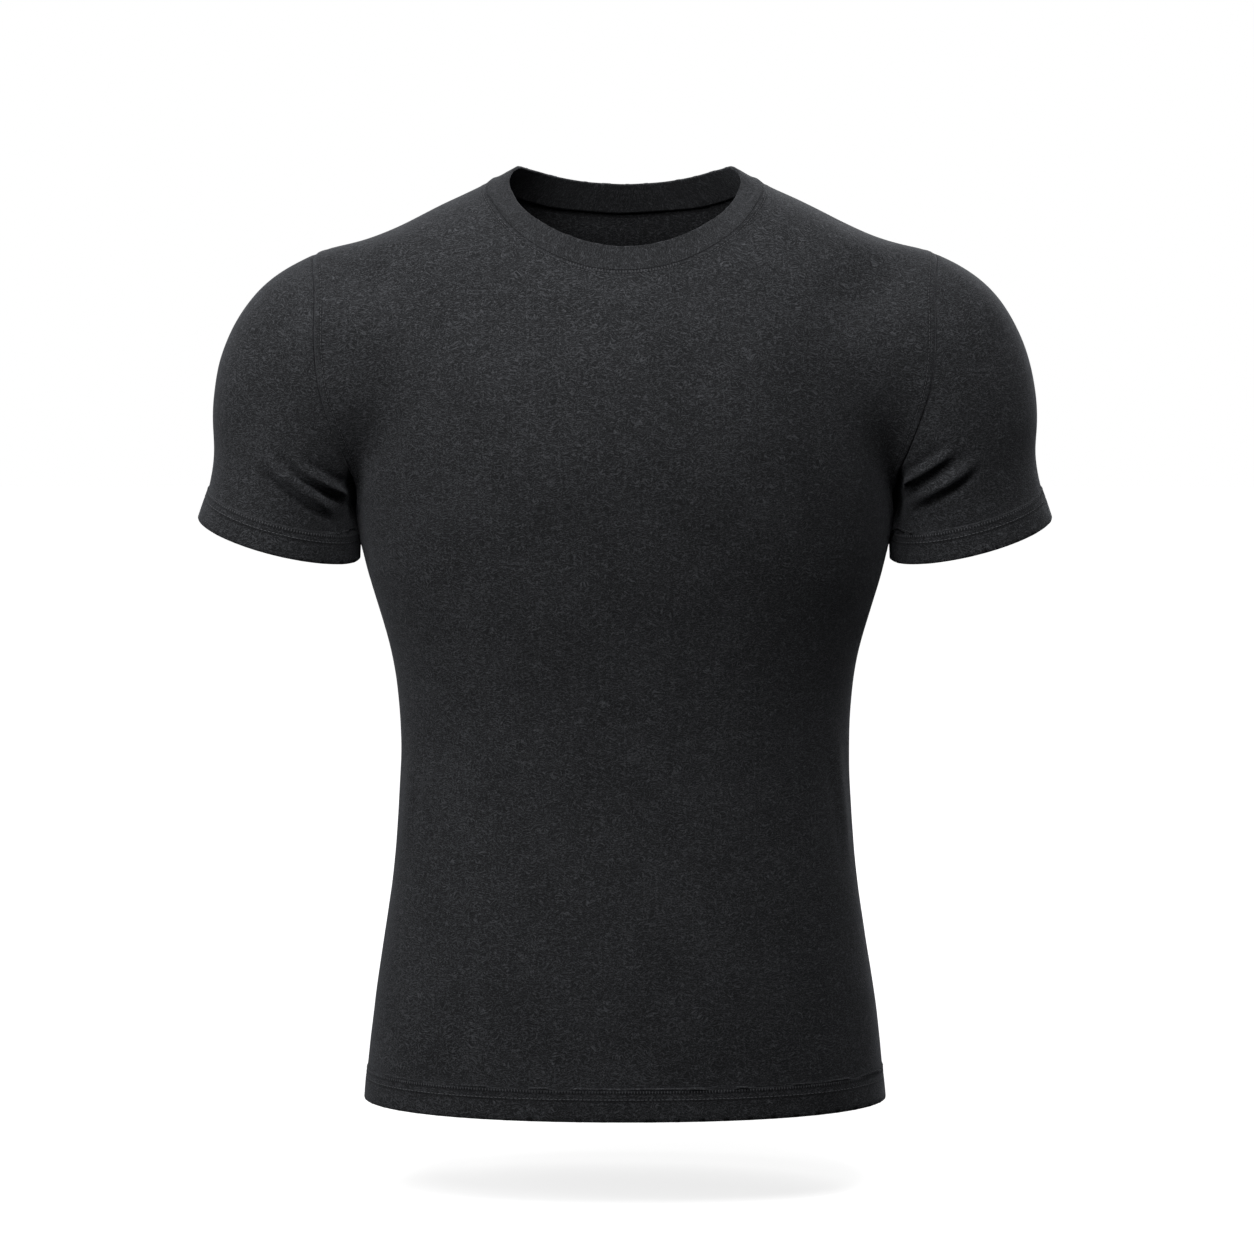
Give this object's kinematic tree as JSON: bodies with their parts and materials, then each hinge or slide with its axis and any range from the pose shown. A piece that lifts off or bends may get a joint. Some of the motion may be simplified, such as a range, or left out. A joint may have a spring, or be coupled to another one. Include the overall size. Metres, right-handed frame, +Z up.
{
  "type": "training t-shirt",
  "caption": "Fitted training t-shirt with a crew neck and short set-in sleeves, filled out as worn, with open neck, cuffs and hem.",
  "frame": {"origin": "midway between the two points where the shoulder seams meet the neck band, at the height of the top of the shoulders, where the wearer's shoulders hold the shirt up", "axes": "+Z up, the front of the shirt faces -Y, +X towards the wearer's left sleeve"},
  "size_m": [0.6362, 0.248, 0.6986],
  "materials": {
    "body_jersey": "charcoal heather knitted jersey, soft and matt with a faint sheen",
    "sleeve_jersey": "the same charcoal heather jersey, its grain running across the sleeve",
    "neck_band": "the same charcoal heather jersey, folded double",
    "sewing_thread": "dark polyester thread with a slight gloss"
  },
  "bodies": {
    "root": {"front_panel": "body_jersey", "back_panel": "body_jersey", "sleeve_right": "sleeve_jersey", "sleeve_left": "sleeve_jersey", "neck_band": "neck_band"}
  },
  "joints": []
}
